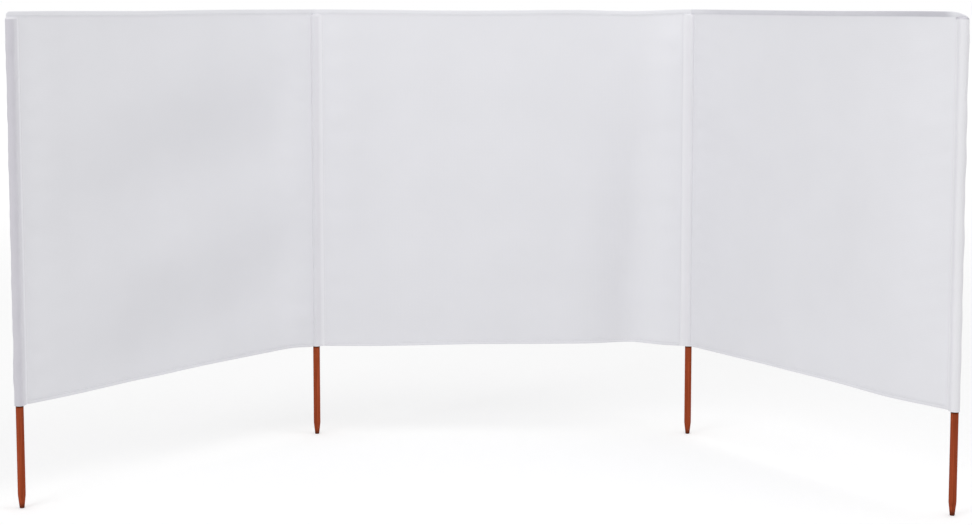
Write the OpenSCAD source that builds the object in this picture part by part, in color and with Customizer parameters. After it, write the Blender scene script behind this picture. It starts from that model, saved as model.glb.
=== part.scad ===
// Beach windbreak: three bays of cloth on four wooden poles, set in a shallow U.
// X runs along the middle bay to the right, Y points away from the sheltered side, Z is up.
// The origin lies on the blunt end of the left inner pole's point.

/* [Layout] */
// Distance between the axes of neighbouring poles
bay_w = 1333; // [800:1:1800]
// Angle by which the left bay stands forward of the middle bay's line
left_swing = 52; // [0:1:90]
// Angle by which the right bay stands forward of the middle bay's line
right_swing = 59; // [0:1:90]

/* [Poles] */
// Diameter of a pole
pole_d = 24; // [18:0.5:36]
// Bare length of a pole below the cloth, with its point
foot_l = 320; // [150:5:600]
// Length of the turned point
point_l = 42; // [20:1:90]
// Diameter of the point where its blunt end begins to round over
point_d = 15; // [10:0.5:17]
// Rounding of the blunt end
point_round = 2.5; // [0.5:0.1:4]
// Rounding of the pole's top edge
top_round = 5; // [1:0.5:8]

/* [Cloth] */
// Height of the cloth
cloth_h = 1200; // [600:5:1600]
// Thickness of one layer of cloth
cloth_t = 1; // [0.5:0.1:2]
// Height of the hem folded to the back along the top edge, which runs on over the poles
top_hem_h = 16; // [8:1:40]
// Height of the hem folded to the back along the bottom edge
bottom_hem_h = 13; // [8:1:40]
// Rounding of the cloth's top corners over the end poles
corner_r = 30; // [10:1:60]

/* [Sleeves] */
// Room between a pole and the sleeve round it
sleeve_ease = 2.5; // [0.5:0.1:6]
// Distance from the sleeve's round inside to the line where its two walls meet
sleeve_tail = 13.5; // [6:0.5:40]
// Width of the sewn seam that closes a sleeve
seam_w = 6; // [3:0.5:20]
// Gap between the cloth of a bay and the sleeve or hem that it swings past
swing_gap = 0.3; // [0.2:0.05:0.8]

/* [Hidden] */
$fn = 96;

POLE_COLOUR = "#93462a";
PANEL_COLOUR = "#dddce1";
SLEEVE_COLOUR = "#d3d2d9";
HEM_COLOUR = "#c9c8cf";

pole_r = pole_d / 2;
point_r = point_d / 2;

cloth_bottom = foot_l;
cloth_top = foot_l + cloth_h;

// The sleeves end closed under the top hem, and each rests on the top of its pole.
sleeve_top_z = cloth_top - top_hem_h - swing_gap;
pole_l = sleeve_top_z - cloth_t;

// The sleeve's round part stands round the pole, and its walls run off tangent to the seam.
sleeve_in_r = pole_r + sleeve_ease;
sleeve_r = sleeve_in_r + cloth_t;
pinch_x = sleeve_in_r + sleeve_tail;
pinch_angle = asin(sleeve_in_r / pinch_x);
seam_x = pinch_x + cloth_t * tan(pinch_angle / 2);
seam_end = seam_x + seam_w;
tail_sink = 0.02;
cut_over = 1;

// The closed top follows the pole's rounded top edge at the sleeve's own ease.
crown_in_r = top_round + sleeve_ease;
crown_r = crown_in_r + cloth_t;

// A swinging panel begins just outside the inner sleeve, and top hems stop short of the pole's axis
// by half their thickness, so that they can stand square to each other.
swing_start = sleeve_r + swing_gap;
hem_start = cloth_t + swing_gap;

// Places

// A swinging bay's own frame: X runs out from the inner pole, and the front stays at -Y.
module left_bay() {
    mirror([1, 0, 0])
        rotate([0, 0, -left_swing])
            children();
}

module right_bay() {
    translate([bay_w, 0, 0])
        rotate([0, 0, -right_swing])
            children();
}

// The far pole of a bay, with the sleeve's tail turned back towards the bay
module bay_end() {
    translate([bay_w, 0, 0])
        mirror([1, 0, 0])
            children();
}

// Poles

// Half outline of a pole: blunt end, taper, shaft and rounded top
module pole_outline() {
    polygon([
        [0, 0],
        [point_r - point_round, 0],
        [point_r, point_round],
        [pole_r, point_l],
        [pole_r, pole_l - top_round],
        [pole_r - top_round, pole_l],
        [0, pole_l]
    ]);
    translate([point_r - point_round, point_round])
        circle(point_round);
    translate([pole_r - top_round, pole_l - top_round])
        circle(top_round);
}

module pole() {
    color(POLE_COLOUR)
        rotate_extrude()
            pole_outline();
}

// Sleeves

// Base corners of a tail on the round part of radius r, set just inside it so that the two join
function tail_base(r) = (r - tail_sink) * [sin(pinch_angle), cos(pinch_angle)];

// Outside of the tail, with the seam where both walls lie flat on each other
module tail_outside() {
    base = tail_base(sleeve_r);
    polygon([
        base,
        [seam_x, cloth_t],
        [seam_end, cloth_t],
        [seam_end, -cloth_t],
        [seam_x, -cloth_t],
        [base.x, -base.y]
    ]);
}

// Inside of the tail, where the two walls meet in an edge
module tail_inside() {
    base = tail_base(sleeve_in_r);
    polygon([base, [pinch_x, 0], [base.x, -base.y]]);
}

// Tube of a sleeve, open at the bottom and under its closed top
module sleeve() {
    tube_h = sleeve_top_z - crown_r - cloth_bottom;
    color(SLEEVE_COLOUR)
        translate([0, 0, cloth_bottom])
            difference() {
                union() {
                    cylinder(h = tube_h, r = sleeve_r);
                    linear_extrude(tube_h)
                        tail_outside();
                }
                translate([0, 0, -cut_over]) {
                    cylinder(h = tube_h + 2 * cut_over, r = sleeve_in_r);
                    linear_extrude(tube_h + 2 * cut_over)
                        tail_inside();
                }
            }
}

// Half outline of a domed crown of radius r with rounding e, standing on its base
module crown_outline(r, e) {
    square([r - e, e]);
    translate([r - e, 0])
        intersection() {
            circle(e);
            square(e);
        }
}

// Closed top of a sleeve: a dome over the pole's end, run out over the tail
module sleeve_top() {
    color(SLEEVE_COLOUR)
        translate([0, 0, sleeve_top_z - crown_r])
            difference() {
                union() {
                    rotate_extrude()
                        crown_outline(sleeve_r, crown_r);
                    linear_extrude(crown_r)
                        tail_outside();
                }
                rotate_extrude()
                    crown_outline(sleeve_in_r, crown_in_r);
                linear_extrude(crown_in_r)
                    tail_inside();
            }
}

// Panels and hems

// A panel reaches up into the fold of its top hem and down into that of its bottom hem.
module panel_body(x0, x1) {
    translate([x0, -cloth_t, cloth_bottom + cloth_t])
        cube([x1 - x0, cloth_t, cloth_h - 2 * cloth_t]);
}

module panel(x0, x1) {
    color(PANEL_COLOUR)
        panel_body(x0, x1);
}

// Section of a folded hem below its edge: two layers under a round fold
module hem_section(h) {
    translate([-cloth_t, -h])
        square([2 * cloth_t, h - cloth_t]);
    translate([0, -cloth_t])
        circle(cloth_t);
}

// Hem along X with its fold on the plane Z = 0
module hem_bar(x0, x1, h) {
    translate([x0, 0, 0])
        rotate([90, 0, 90])
            linear_extrude(x1 - x0)
                hem_section(h);
}

// Elevation of the cloth up to an end at x, with its top corner rounded
module cloth_elevation(x) {
    square([x - corner_r, cloth_top]);
    square([x, cloth_top - corner_r]);
    translate([x - corner_r, cloth_top - corner_r])
        circle(corner_r);
}

// Hem from x0 to x1 whose front layer is the panel's own between panel_x0 and panel_x1
module top_hem(x0, x1, panel_x0, panel_x1) {
    color(HEM_COLOUR)
        difference() {
            translate([0, 0, cloth_top])
                hem_bar(x0, x1, top_hem_h);
            panel_body(panel_x0, panel_x1);
        }
}

// Top hem of a swinging bay, rounded over its end pole
module end_bay_top_hem() {
    x1 = bay_w + sleeve_r;
    intersection() {
        top_hem(hem_start, x1, swing_start, bay_w - seam_end);
        rotate([90, 0, 0])
            linear_extrude(4 * cloth_t, center = true)
                cloth_elevation(x1);
    }
}

module bottom_hem(x0, x1) {
    color(HEM_COLOUR)
        difference() {
            translate([0, 0, cloth_bottom])
                mirror([0, 0, 1])
                    hem_bar(x0, x1, bottom_hem_h);
            panel_body(x0, x1);
        }
}

// Left bay

module left_end_pole() {
    left_bay() bay_end() pole();
}

module left_end_sleeve() {
    left_bay() bay_end() sleeve();
}

module left_end_sleeve_top() {
    left_bay() bay_end() sleeve_top();
}

module left_panel() {
    left_bay() panel(swing_start, bay_w - seam_end);
}

module left_top_hem() {
    left_bay() end_bay_top_hem();
}

module left_bottom_hem() {
    left_bay() bottom_hem(swing_start, bay_w - seam_end);
}

// Middle bay

module left_inner_pole() {
    pole();
}

module left_inner_sleeve() {
    sleeve();
}

module left_inner_sleeve_top() {
    sleeve_top();
}

module middle_panel() {
    panel(seam_end, bay_w - seam_end);
}

module middle_top_hem() {
    top_hem(hem_start, bay_w - hem_start, seam_end, bay_w - seam_end);
}

module middle_bottom_hem() {
    bottom_hem(seam_end, bay_w - seam_end);
}

module right_inner_pole() {
    bay_end() pole();
}

module right_inner_sleeve() {
    bay_end() sleeve();
}

module right_inner_sleeve_top() {
    bay_end() sleeve_top();
}

// Right bay

module right_end_pole() {
    right_bay() bay_end() pole();
}

module right_end_sleeve() {
    right_bay() bay_end() sleeve();
}

module right_end_sleeve_top() {
    right_bay() bay_end() sleeve_top();
}

module right_panel() {
    right_bay() panel(swing_start, bay_w - seam_end);
}

module right_top_hem() {
    right_bay() end_bay_top_hem();
}

module right_bottom_hem() {
    right_bay() bottom_hem(swing_start, bay_w - seam_end);
}

left_end_pole();
left_inner_pole();
right_inner_pole();
right_end_pole();
left_end_sleeve();
left_inner_sleeve();
right_inner_sleeve();
right_end_sleeve();
left_end_sleeve_top();
left_inner_sleeve_top();
right_inner_sleeve_top();
right_end_sleeve_top();
left_panel();
middle_panel();
right_panel();
left_top_hem();
middle_top_hem();
right_top_hem();
left_bottom_hem();
middle_bottom_hem();
right_bottom_hem();
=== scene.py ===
"""Dresses the beach windbreak: three bays of white woven cloth on four stained wooden poles."""

import logging
import math
from dataclasses import dataclass, field
from enum import Enum

import bpy
import numpy as np
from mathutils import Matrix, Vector


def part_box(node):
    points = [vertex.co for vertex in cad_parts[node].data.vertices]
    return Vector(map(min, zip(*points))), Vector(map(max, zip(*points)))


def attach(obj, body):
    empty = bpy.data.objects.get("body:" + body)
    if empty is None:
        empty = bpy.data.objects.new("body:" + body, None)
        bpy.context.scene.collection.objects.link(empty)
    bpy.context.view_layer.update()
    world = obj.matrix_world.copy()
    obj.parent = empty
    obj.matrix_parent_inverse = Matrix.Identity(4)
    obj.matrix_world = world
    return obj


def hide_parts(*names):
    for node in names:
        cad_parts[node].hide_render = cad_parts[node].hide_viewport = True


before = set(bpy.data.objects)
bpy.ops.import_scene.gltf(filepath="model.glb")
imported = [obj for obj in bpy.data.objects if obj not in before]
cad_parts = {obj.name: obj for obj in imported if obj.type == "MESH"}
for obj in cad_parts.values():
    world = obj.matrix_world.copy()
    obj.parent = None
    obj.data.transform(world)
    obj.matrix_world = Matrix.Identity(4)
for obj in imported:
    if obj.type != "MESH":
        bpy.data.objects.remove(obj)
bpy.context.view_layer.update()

LOG = logging.getLogger("windbreak")
MM = 0.001
UP = np.array([0.0, 0.0, 1.0])
# A wave texture at a scale of one runs through this many radians in a unit of length.
WAVE_RADIANS = 20.0
# Faces of a sheet that meet at more than this angle keep a sharp edge between them.
SHARP_DEG = 50.0

# Kinds of nodes that occur often
MATH = "ShaderNodeMath"
VECTOR_MATH = "ShaderNodeVectorMath"
COMBINE = "ShaderNodeCombineXYZ"
NOISE = "ShaderNodeTexNoise"
MAP_RANGE = "ShaderNodeMapRange"
MIX = "ShaderNodeMix"

Node = bpy.types.Node
NodeTree = bpy.types.NodeTree
Socket = bpy.types.NodeSocket
Object = bpy.types.Object
Material = bpy.types.Material
Knots = tuple[tuple[float, float], ...]

LEVEL: Knots = ((0, 0), (1, 0))


def linear(code: str) -> tuple[float, float, float, float]:
    """Turns an sRGB hex colour into linear light.

    Args:
        code: colour as "#RRGGBB"

    Returns:
        linear red, green and blue with an alpha of one
    """
    shares = [int(code[i : i + 2], 16) / 255 for i in (1, 3, 5)]
    light = [c / 12.92 if c <= 0.04045 else ((c + 0.055) / 1.055) ** 2.4 for c in shares]
    return light[0], light[1], light[2], 1.0


def add_node(tree: NodeTree, kind: str, settings: dict | None = None, inputs: dict | None = None) -> Node:
    """Adds a node, sets its properties and fills its sockets.

    Args:
        tree: tree that takes the node
        kind: the node's type name
        settings: property values by name
        inputs: values or output sockets by the input's name or index

    Returns:
        the new node
    """
    node = tree.nodes.new(kind)
    for name, value in (settings or {}).items():
        setattr(node, name, value)
    for key, value in (inputs or {}).items():
        if isinstance(value, Socket):
            tree.links.new(value, node.inputs[key])
        else:
            node.inputs[key].default_value = value
    return node


def new_material(name: str) -> tuple[Material, NodeTree]:
    """Starts a material with an empty tree.

    Args:
        name: the material's name

    Returns:
        the material and its tree
    """
    material = bpy.data.materials.new(name)
    material.use_nodes = True
    material.node_tree.nodes.clear()
    return material, material.node_tree


def new_object(name: str, data: bpy.types.ID) -> Object:
    """Puts a new object in the scene.

    Args:
        name: the object's name
        data: its mesh, lamp or camera

    Returns:
        the object at the origin
    """
    obj = bpy.data.objects.new(name, data)
    bpy.context.scene.collection.objects.link(obj)
    return obj


def wave_scale(spacing_mm: float) -> float:
    """Scale of a wave texture whose bands lie the given distance apart."""
    return math.tau / (WAVE_RADIANS * spacing_mm * MM)


def smooth(t: np.ndarray) -> np.ndarray:
    """Eases a share from 0 to 1, level at both ends."""
    t = np.clip(t, 0.0, 1.0)
    return t * t * (3.0 - 2.0 * t)


def along_knots(x: np.ndarray, knots: Knots) -> np.ndarray:
    """Reads a smooth line through knots.

    Args:
        x: places to read it at
        knots: places and heights of the line's level points, in order

    Returns:
        the line's height at each place
    """
    result = np.full_like(x, knots[0][1])
    for (x0, y0), (x1, y1) in zip(knots, knots[1:]):
        result = result + (y1 - y0) * smooth((x - x0) / (x1 - x0))
    return result


def path_steps(x: np.ndarray, y: np.ndarray) -> np.ndarray:
    """Lengths of the steps between a path's points."""
    return np.hypot(np.diff(x), np.diff(y))


# Finishes


@dataclass(frozen=True)
class ClothFinish:
    """Plain-woven white polyester: matt and even, with a faint mottling and a soft edge sheen."""

    name: str
    colour: str
    shaded: str
    mottle_mm: float = 260.0
    mottle_tone: float = 0.975
    weave_mm: float = 5.0
    weave_depth_mm: float = 0.25
    roughness: float = 0.82
    wear: float = 0.08

    def material(self) -> Material:
        """Makes the cloth's material.

        Returns:
            a material that reads the cloth's own UV map and its attribute "shade"
        """
        material, tree = new_material(self.name)
        place = add_node(tree, "ShaderNodeTexCoord")
        mottle = add_node(
            tree,
            NOISE,
            inputs={"Vector": place.outputs["Object"], "Scale": 1 / (self.mottle_mm * MM), "Detail": 3.0},
        )
        patches = add_node(
            tree,
            MAP_RANGE,
            inputs={
                "Value": mottle.outputs["Fac"],
                "From Min": 0.3,
                "From Max": 0.7,
                "To Min": self.mottle_tone,
            },
        )
        # Painted light and shade: the attribute "shade" mixes in the darker tone where a pole's shadow falls
        # through the cloth and where a fold leans out of the light, and less of it near the poles, which
        # paints the cloth lighter there.
        shade = add_node(tree, "ShaderNodeAttribute", {"attribute_name": "shade"})
        shown = add_node(
            tree,
            MIX,
            {"data_type": "RGBA"},
            {"Factor": shade.outputs["Fac"], 6: linear(self.colour), 7: linear(self.shaded)},
        )
        tinted = add_node(
            tree,
            MIX,
            {"data_type": "RGBA", "blend_type": "MULTIPLY"},
            {"Factor": 1.0, 6: shown.outputs[2], 7: patches.outputs["Result"]},
        )
        # Threads of such cloth lie half a millimetre apart, so they are drawn ten times coarser to show.
        uv = add_node(tree, "ShaderNodeUVMap", {"uv_map": "cloth"})
        threads = [
            add_node(
                tree,
                "ShaderNodeTexWave",
                {"bands_direction": axis},
                {
                    "Vector": uv.outputs["UV"],
                    "Scale": wave_scale(self.weave_mm),
                    "Distortion": 0.4,
                    "Detail": 1.0,
                },
            )
            for axis in ("X", "Y")
        ]
        crossing = add_node(
            tree,
            MATH,
            {"operation": "MULTIPLY"},
            {0: threads[0].outputs["Fac"], 1: threads[1].outputs["Fac"]},
        )
        relief = add_node(
            tree,
            "ShaderNodeBump",
            inputs={"Strength": 0.35, "Distance": self.weave_depth_mm * MM, "Height": crossing.outputs[0]},
        )
        worn = add_node(
            tree,
            MAP_RANGE,
            inputs={
                "Value": mottle.outputs["Fac"],
                "To Min": self.roughness - self.wear,
                "To Max": self.roughness + self.wear,
            },
        )
        shader = add_node(
            tree,
            "ShaderNodeBsdfPrincipled",
            inputs={
                "Base Color": tinted.outputs[2],
                "Roughness": worn.outputs["Result"],
                "Normal": relief.outputs["Normal"],
                "Specular IOR Level": 0.25,
                "Sheen Weight": 0.06,
                "Sheen Roughness": 0.5,
            },
        )
        add_node(tree, "ShaderNodeOutputMaterial", inputs={"Surface": shader.outputs["BSDF"]})
        return material


@dataclass(frozen=True)
class WoodFinish:
    """Turned softwood in a red-brown stain: fine dark grain along the pole, matt from a thin oil."""

    mouth_mm: float
    name: str = "stained pine"
    light: str = "#A64B2C"
    dark: str = "#763219"
    # Colour of the darker tip, also used for the painted shadow below the sleeve's mouth.
    tip: str = "#3E1C0F"
    grain_mm: float = 2.2
    figure_mm: float = 9.0
    figure_share: float = 0.45
    stretch: float = 45.0
    pore_mm: float = 0.3
    rough_dark: float = 0.78
    rough_light: float = 0.6
    tip_mm: float = 24.0
    tip_darkening: float = 0.8
    ring_from_mm: float = 9.0
    ring_full_mm: float = 1.0
    mouth_shadow: float = 0.85

    def material(self) -> Material:
        """Makes the wood's material.

        Returns:
            a material on Object coordinates, with its grain along Z
        """
        material, tree = new_material(self.name)
        place = add_node(tree, "ShaderNodeTexCoord")
        drawn = add_node(
            tree,
            "ShaderNodeMapping",
            inputs={"Vector": place.outputs["Object"], "Scale": (1.0, 1.0, 1.0 / self.stretch)},
        )
        grain = add_node(
            tree,
            NOISE,
            inputs={
                "Vector": drawn.outputs["Vector"],
                "Scale": 1 / (self.grain_mm * MM),
                "Detail": 5.0,
                "Roughness": 0.6,
            },
        )
        figure = add_node(
            tree,
            NOISE,
            inputs={"Vector": drawn.outputs["Vector"], "Scale": 1 / (self.figure_mm * MM), "Detail": 2.0},
        )
        mixed = add_node(
            tree,
            MIX,
            {"data_type": "FLOAT"},
            {"Factor": self.figure_share, 2: grain.outputs["Fac"], 3: figure.outputs["Fac"]},
        )
        depth = add_node(
            tree, MAP_RANGE, inputs={"Value": mixed.outputs[0], "From Min": 0.32, "From Max": 0.62}
        )
        stained = add_node(
            tree,
            MIX,
            {"data_type": "RGBA"},
            {"Factor": depth.outputs["Result"], 6: linear(self.dark), 7: linear(self.light)},
        )
        # The point is darker towards its tip.
        height = add_node(tree, "ShaderNodeSeparateXYZ", inputs={"Vector": place.outputs["Object"]})
        darker_tip = add_node(
            tree,
            MAP_RANGE,
            {"interpolation_type": "SMOOTHSTEP"},
            {
                "Value": height.outputs["Z"],
                "From Min": 0.0,
                "From Max": self.tip_mm * MM,
                "To Min": self.tip_darkening,
                "To Max": 0.0,
            },
        )
        # Painted shadow: the wood darkens in a ring just below the mouth of the sleeve.
        shadow_ring = add_node(
            tree,
            MAP_RANGE,
            {"interpolation_type": "SMOOTHSTEP"},
            {
                "Value": height.outputs["Z"],
                "From Min": (self.mouth_mm - self.ring_from_mm) * MM,
                "From Max": (self.mouth_mm - self.ring_full_mm) * MM,
                "To Min": 0.0,
                "To Max": self.mouth_shadow,
            },
        )
        dark_tip_and_shadow = add_node(
            tree, MATH, {"operation": "MAXIMUM"}, {0: darker_tip.outputs["Result"], 1: shadow_ring.outputs["Result"]}
        )
        coloured = add_node(
            tree,
            MIX,
            {"data_type": "RGBA"},
            {"Factor": dark_tip_and_shadow.outputs[0], 6: stained.outputs[2], 7: linear(self.tip)},
        )
        gloss = add_node(
            tree,
            MAP_RANGE,
            inputs={"Value": mixed.outputs[0], "To Min": self.rough_dark, "To Max": self.rough_light},
        )
        pores = add_node(
            tree,
            "ShaderNodeBump",
            inputs={"Strength": 0.25, "Distance": self.pore_mm * MM, "Height": grain.outputs["Fac"]},
        )
        shader = add_node(
            tree,
            "ShaderNodeBsdfPrincipled",
            inputs={
                "Base Color": coloured.outputs[2],
                "Roughness": gloss.outputs["Result"],
                "Normal": pores.outputs["Normal"],
                "Specular IOR Level": 0.06,
            },
        )
        add_node(tree, "ShaderNodeOutputMaterial", inputs={"Surface": shader.outputs["BSDF"]})
        return material


@dataclass(frozen=True)
class ThreadFinish:
    """Spun polyester sewing thread: a little greyer than the cloth, with a fine twist across it."""

    name: str = "polyester thread"
    colour: str = "#D0CFD6"
    twist_mm: float = 1.2
    twist_tone: float = 0.88

    def material(self) -> Material:
        """Makes the thread's material.

        Returns:
            a material on Object coordinates
        """
        material, tree = new_material(self.name)
        place = add_node(tree, "ShaderNodeTexCoord")
        # The twist is drawn as coarse as the thread, about three times its real size, to show.
        twist = add_node(
            tree,
            "ShaderNodeTexWave",
            {"bands_direction": "DIAGONAL"},
            {"Vector": place.outputs["Object"], "Scale": wave_scale(self.twist_mm)},
        )
        shade = add_node(
            tree,
            MAP_RANGE,
            inputs={"Value": twist.outputs["Fac"], "To Min": self.twist_tone, "To Max": 1.0},
        )
        tinted = add_node(
            tree,
            MIX,
            {"data_type": "RGBA", "blend_type": "MULTIPLY"},
            {"Factor": 1.0, 6: linear(self.colour), 7: shade.outputs["Result"]},
        )
        shader = add_node(
            tree,
            "ShaderNodeBsdfPrincipled",
            inputs={"Base Color": tinted.outputs[2], "Roughness": 0.7, "Specular IOR Level": 0.3},
        )
        add_node(tree, "ShaderNodeOutputMaterial", inputs={"Surface": shader.outputs["BSDF"]})
        return material


# Meshes


def sheet_object(
    name: str, middle: np.ndarray, thickness: float, uv: np.ndarray, shade: np.ndarray, material: Material
) -> Object:
    """Makes a closed thin sheet round a grid of points in its middle layer.

    Args:
        name: the new object's name
        middle: rows by columns of points, in metres
        thickness: thickness of the cloth, in metres
        uv: rows by columns of cloth coordinates, in metres
        shade: rows by columns of the darker tone's share, from 0 to 1
        material: the cloth's material

    Returns:
        the sheet as an object at the origin
    """
    rows, columns = middle.shape[:2]
    facing = np.cross(np.gradient(middle, axis=1), np.gradient(middle, axis=0))
    facing /= np.maximum(np.linalg.norm(facing, axis=2, keepdims=True), 1e-12)
    points = np.concatenate([middle + facing * thickness / 2, middle - facing * thickness / 2])
    points = points.reshape(-1, 3)
    index = np.arange(rows * columns).reshape(rows, columns)
    near = np.stack([index[:-1, :-1], index[:-1, 1:], index[1:, 1:], index[1:, :-1]], axis=-1).reshape(-1, 4)
    far = near[:, ::-1] + rows * columns
    edge = np.concatenate([index[0, :], index[1:, -1], index[-1, -2::-1], index[-2:0:-1, 0]])
    after = np.roll(edge, -1)
    rim = np.stack([after, edge, edge + rows * columns, after + rows * columns], axis=-1)
    faces = np.concatenate([near, far, rim])
    mesh = bpy.data.meshes.new(name)
    mesh.from_pydata(points.tolist(), [], faces.tolist())
    layer = mesh.uv_layers.new(name="cloth")
    both = np.concatenate([uv.reshape(-1, 2), uv.reshape(-1, 2)])
    layer.data.foreach_set("uv", both[faces.reshape(-1)].astype(np.float32).reshape(-1))
    tone = mesh.attributes.new("shade", "FLOAT", "POINT")
    tone.data.foreach_set("value", np.tile(shade.reshape(-1), 2).astype(np.float32))
    mesh.polygons.foreach_set("use_smooth", np.ones(len(faces), bool))
    mesh.set_sharp_from_angle(angle=math.radians(SHARP_DEG))
    mesh.materials.append(material)
    mesh.update()
    return new_object(name, mesh)


def new_rule(name: str, sockets: dict[str, str]) -> tuple[NodeTree, Node]:
    """Starts a Geometry Nodes tree with named inputs.

    Args:
        name: the tree's name
        sockets: socket types by input name

    Returns:
        the tree and its Group Input node
    """
    tree = bpy.data.node_groups.new(name, "GeometryNodeTree")
    for label, kind in sockets.items():
        tree.interface.new_socket(name=label, in_out="INPUT", socket_type=kind)
    tree.interface.new_socket(name="Geometry", in_out="OUTPUT", socket_type="NodeSocketGeometry")
    return tree, add_node(tree, "NodeGroupInput")


def close_rule(tree: NodeTree, made: Socket, material: Socket) -> None:
    """Ends a Geometry Nodes tree in one plain, smooth mesh with its material.

    Args:
        tree: the tree
        made: socket of the geometry that it has made
        material: socket of the material
    """
    plain = add_node(tree, "GeometryNodeRealizeInstances", inputs={"Geometry": made})
    eased = add_node(tree, "GeometryNodeSetShadeSmooth", inputs={"Geometry": plain.outputs[0]})
    dressed = add_node(
        tree, "GeometryNodeSetMaterial", inputs={"Geometry": eased.outputs[0], "Material": material}
    )
    add_node(tree, "NodeGroupOutput", inputs={"Geometry": dressed.outputs[0]})


def run_rule(obj: Object, tree: NodeTree, values: dict[str, object]) -> None:
    """Runs a Geometry Nodes tree on an object and keeps the result as its plain mesh.

    Args:
        obj: mesh object that the tree starts from
        tree: the tree
        values: input values by name
    """
    rule = obj.modifiers.new(tree.name, "NODES")
    rule.node_group = tree
    for item in tree.interface.items_tree:
        if item.in_out == "INPUT" and item.name in values:
            rule[item.identifier] = values[item.name]
    evaluated = obj.evaluated_get(bpy.context.evaluated_depsgraph_get())
    made = bpy.data.meshes.new_from_object(evaluated)
    obj.modifiers.remove(rule)
    before = obj.data
    obj.data = made
    bpy.data.meshes.remove(before)


# Sizes


@dataclass(frozen=True)
class Sizes:
    """Sizes that the pieces share, in metres, read off the CAD nodes."""

    pole_r: float
    pole_l: float
    sleeve_r: float
    seam_end: float
    sleeve_top: float
    bottom: float
    top: float
    top_hem: float
    bottom_hem: float
    cloth_t: float = 0.8 * MM
    cloth_n: float = 0.5 * MM
    seam_w: float = 6.0 * MM
    crown_h: float = 8.5 * MM

    @classmethod
    def from_frame(cls) -> "Sizes":
        """Reads the sizes off the CAD nodes.

        Returns:
            the shared sizes
        """
        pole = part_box("left_inner_pole")
        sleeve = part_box("left_inner_sleeve")
        top_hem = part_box("middle_top_hem")
        bottom_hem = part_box("middle_bottom_hem")
        return cls(
            pole_r=(pole[1].x - pole[0].x) / 2,
            pole_l=pole[1].z,
            sleeve_r=-sleeve[0].x,
            seam_end=sleeve[1].x,
            sleeve_top=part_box("left_inner_sleeve_top")[1].z,
            bottom=bottom_hem[0].z,
            top=top_hem[1].z,
            top_hem=top_hem[1].z - top_hem[0].z,
            bottom_hem=bottom_hem[1].z - bottom_hem[0].z,
        )

    @property
    def crown_base(self) -> float:
        """Height at which a sleeve begins to close over its pole."""
        return self.sleeve_top - self.crown_h


def pole_axis(node: str) -> np.ndarray:
    """Foot of a pole's axis, in metres."""
    low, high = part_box(node)
    return np.array([(low.x + high.x) / 2, (low.y + high.y) / 2, 0.0])


# Bays


@dataclass(frozen=True)
class Swell:
    """A soft swell of the cloth: its place, height and reach in millimetres, and its slant in degrees.

    It reaches along in the direction of its slant, and across square to that.
    """

    s: float
    z: float
    height: float
    across: float
    along: float
    slant: float = 0.0

    def offset(self, s: np.ndarray, z: np.ndarray) -> np.ndarray:
        """Height of the swell.

        Args:
            s: distances from the first pole, in millimetres
            z: heights above the cloth's bottom edge, in millimetres

        Returns:
            how far the cloth stands forward, in millimetres
        """
        turn = math.radians(self.slant)
        ds, dz = s - self.s, z - self.z
        along = ds * math.cos(turn) + dz * math.sin(turn)
        across = dz * math.cos(turn) - ds * math.sin(turn)
        return self.height * np.exp(-((along / self.along) ** 2) - (across / self.across) ** 2)


@dataclass(frozen=True)
class Corner:
    """Arc by which a top hem droops over an end pole: its start from the axis and its radius, in metres."""

    start: float
    radius: float
    reach: float = 0.98


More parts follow.
